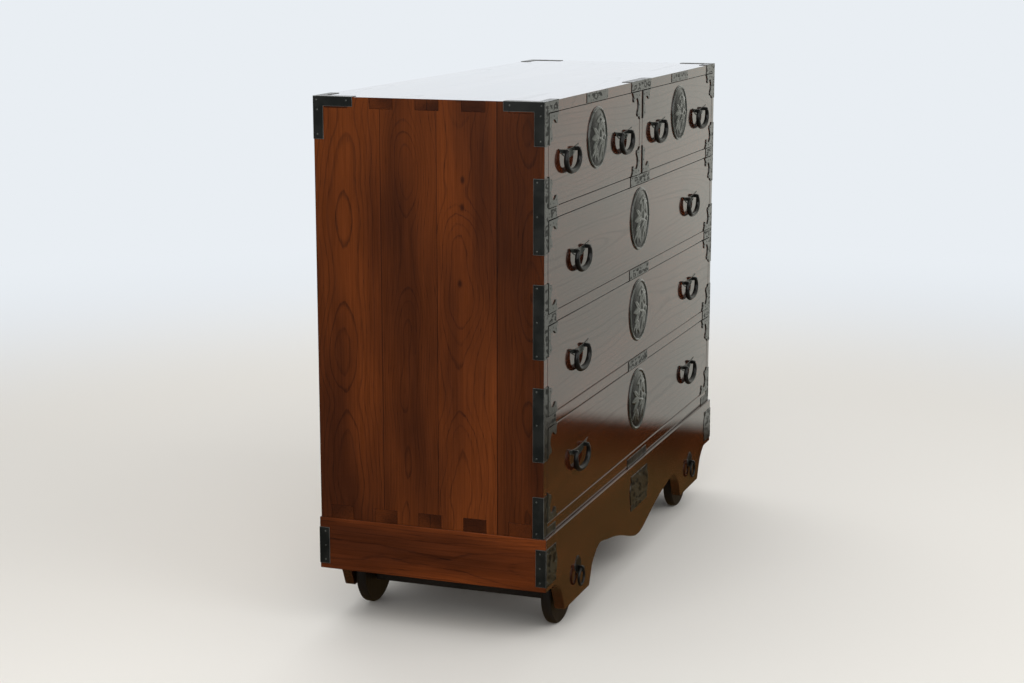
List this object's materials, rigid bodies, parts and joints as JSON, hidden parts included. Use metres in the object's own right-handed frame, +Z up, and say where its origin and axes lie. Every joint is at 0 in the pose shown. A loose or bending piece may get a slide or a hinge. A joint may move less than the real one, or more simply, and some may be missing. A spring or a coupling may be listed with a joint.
{
  "type": "wheeled tansu chest",
  "caption": "Low wooden chest of drawers with hanging iron bails and round lock plates, on a shaped plinth that hides wooden wheels and their axles.",
  "frame": {"origin": "on the floor, under the middle of the whole chest", "axes": "+X along the chest's length, to the right as seen from the front; the drawers face -Y; +Z up"},
  "size_m": [1.2244, 0.4752, 1.0228],
  "materials": {
    "lacquered_zelkova": "glossy clear lacquer over red-brown wood",
    "plain_paulownia": "planed and unfinished",
    "black_iron": "satin black patina",
    "dark_wheel_wood": "dull, near black"
  },
  "bodies": {
    "chest": {"top_board": "lacquered_zelkova", "bottom_board": "lacquered_zelkova", "side_panel_left": "lacquered_zelkova", "side_panel_right": "lacquered_zelkova", "back_panel": "plain_paulownia", "rail_board_upper": "lacquered_zelkova", "rail_board_middle": "lacquered_zelkova", "rail_board_lower": "lacquered_zelkova", "drawer_divider": "lacquered_zelkova", "plinth_apron_front": "lacquered_zelkova", "plinth_apron_back": "lacquered_zelkova", "plinth_rail_left": "lacquered_zelkova", "plinth_rail_right": "lacquered_zelkova", "axle_bearer_left": "plain_paulownia", "axle_bearer_right": "plain_paulownia", "axle_left": "dark_wheel_wood", "axle_right": "dark_wheel_wood", "ring_mount_left": "black_iron", "ring_mount_right": "black_iron"},
    "drawer_top_left": {"drawer_front_top_left": "lacquered_zelkova", "drawer_box_top_left": "plain_paulownia", "lock_plate_top_left": "black_iron", "handle_plate_top_left_left": "black_iron", "handle_plate_top_left_right": "black_iron"},
    "drawer_top_right": {"drawer_front_top_right": "lacquered_zelkova", "drawer_box_top_right": "plain_paulownia", "lock_plate_top_right": "black_iron", "handle_plate_top_right_left": "black_iron", "handle_plate_top_right_right": "black_iron"},
    "drawer_upper": {"drawer_front_upper": "lacquered_zelkova", "drawer_box_upper": "plain_paulownia", "lock_plate_upper": "black_iron", "handle_plate_upper_left": "black_iron", "handle_plate_upper_right": "black_iron"},
    "drawer_middle": {"drawer_front_middle": "lacquered_zelkova", "drawer_box_middle": "plain_paulownia", "lock_plate_middle": "black_iron", "handle_plate_middle_left": "black_iron", "handle_plate_middle_right": "black_iron"},
    "drawer_lower": {"drawer_front_lower": "lacquered_zelkova", "drawer_box_lower": "plain_paulownia", "lock_plate_lower": "black_iron", "handle_plate_lower_left": "black_iron", "handle_plate_lower_right": "black_iron"},
    "bail_top_left_left": {"bail_top_left_left": "black_iron"},
    "bail_top_left_right": {"bail_top_left_right": "black_iron"},
    "bail_top_right_left": {"bail_top_right_left": "black_iron"},
    "bail_top_right_right": {"bail_top_right_right": "black_iron"},
    "bail_upper_left": {"bail_upper_left": "black_iron"},
    "bail_upper_right": {"bail_upper_right": "black_iron"},
    "bail_middle_left": {"bail_middle_left": "black_iron"},
    "bail_middle_right": {"bail_middle_right": "black_iron"},
    "bail_lower_left": {"bail_lower_left": "black_iron"},
    "bail_lower_right": {"bail_lower_right": "black_iron"},
    "wheel_front_left": {"wheel_front_left": "dark_wheel_wood"},
    "wheel_front_right": {"wheel_front_right": "dark_wheel_wood"},
    "wheel_back_left": {"wheel_back_left": "dark_wheel_wood"},
    "wheel_back_right": {"wheel_back_right": "dark_wheel_wood"},
    "ring_left": {"ring_left": "black_iron"},
    "ring_right": {"ring_right": "black_iron"}
  },
  "joints": [
    {"name": "drawer_top_left_slide", "type": "slide", "parent": "chest", "child": "drawer_top_left", "axis": [0, -1, 0], "range_m": [0, 0.33]},
    {"name": "drawer_top_right_slide", "type": "slide", "parent": "chest", "child": "drawer_top_right", "axis": [0, -1, 0], "range_m": [0, 0.33]},
    {"name": "drawer_upper_slide", "type": "slide", "parent": "chest", "child": "drawer_upper", "axis": [0, -1, 0], "range_m": [0, 0.33]},
    {"name": "drawer_middle_slide", "type": "slide", "parent": "chest", "child": "drawer_middle", "axis": [0, -1, 0], "range_m": [0, 0.33]},
    {"name": "drawer_lower_slide", "type": "slide", "parent": "chest", "child": "drawer_lower", "axis": [0, -1, 0], "range_m": [0, 0.33]},
    {"name": "bail_top_left_left_swing", "type": "hinge", "parent": "drawer_top_left", "child": "bail_top_left_left", "pos_m": [-0.4729, -0.22642, 0.92498], "axis": [-1, 0, 0], "range_deg": [-5, 150]},
    {"name": "bail_top_left_right_swing", "type": "hinge", "parent": "drawer_top_left", "child": "bail_top_left_right", "pos_m": [-0.12535, -0.22642, 0.92498], "axis": [-1, 0, 0], "range_deg": [-5, 150]},
    {"name": "bail_top_right_left_swing", "type": "hinge", "parent": "drawer_top_right", "child": "bail_top_right_left", "pos_m": [0.12535, -0.22642, 0.92498], "axis": [-1, 0, 0], "range_deg": [-5, 150]},
    {"name": "bail_top_right_right_swing", "type": "hinge", "parent": "drawer_top_right", "child": "bail_top_right_right", "pos_m": [0.4729, -0.22642, 0.92498], "axis": [-1, 0, 0], "range_deg": [-5, 150]},
    {"name": "bail_upper_left_swing", "type": "hinge", "parent": "drawer_upper", "child": "bail_upper_left", "pos_m": [-0.40506, -0.22642, 0.73248], "axis": [-1, 0, 0], "range_deg": [-5, 150]},
    {"name": "bail_upper_right_swing", "type": "hinge", "parent": "drawer_upper", "child": "bail_upper_right", "pos_m": [0.40506, -0.22642, 0.73248], "axis": [-1, 0, 0], "range_deg": [-5, 150]},
    {"name": "bail_middle_left_swing", "type": "hinge", "parent": "drawer_middle", "child": "bail_middle_left", "pos_m": [-0.40506, -0.22642, 0.54077], "axis": [-1, 0, 0], "range_deg": [-5, 150]},
    {"name": "bail_middle_right_swing", "type": "hinge", "parent": "drawer_middle", "child": "bail_middle_right", "pos_m": [0.40506, -0.22642, 0.54077], "axis": [-1, 0, 0], "range_deg": [-5, 150]},
    {"name": "bail_lower_left_swing", "type": "hinge", "parent": "drawer_lower", "child": "bail_lower_left", "pos_m": [-0.40506, -0.22642, 0.34452], "axis": [-1, 0, 0], "range_deg": [-5, 150]},
    {"name": "bail_lower_right_swing", "type": "hinge", "parent": "drawer_lower", "child": "bail_lower_right", "pos_m": [0.40506, -0.22642, 0.34452], "axis": [-1, 0, 0], "range_deg": [-5, 150]},
    {"name": "wheel_front_left_turn", "type": "hinge", "parent": "chest", "child": "wheel_front_left", "pos_m": [-0.43401, -0.18593, 0.07178], "axis": [0, 1, 0], "continuous": true},
    {"name": "wheel_front_right_turn", "type": "hinge", "parent": "chest", "child": "wheel_front_right", "pos_m": [0.43401, -0.18593, 0.07178], "axis": [0, 1, 0], "continuous": true},
    {"name": "wheel_back_left_turn", "type": "hinge", "parent": "chest", "child": "wheel_back_left", "pos_m": [-0.43401, 0.20008, 0.07178], "axis": [0, 1, 0], "continuous": true},
    {"name": "wheel_back_right_turn", "type": "hinge", "parent": "chest", "child": "wheel_back_right", "pos_m": [0.43401, 0.20008, 0.07178], "axis": [0, 1, 0], "continuous": true},
    {"name": "ring_left_swing", "type": "hinge", "parent": "chest", "child": "ring_left", "pos_m": [-0.42116, -0.23142, 0.10828], "axis": [-1, 0, 0], "range_deg": [-5, 150]},
    {"name": "ring_right_swing", "type": "hinge", "parent": "chest", "child": "ring_right", "pos_m": [0.42116, -0.23142, 0.10828], "axis": [-1, 0, 0], "range_deg": [-5, 150]}
  ]
}
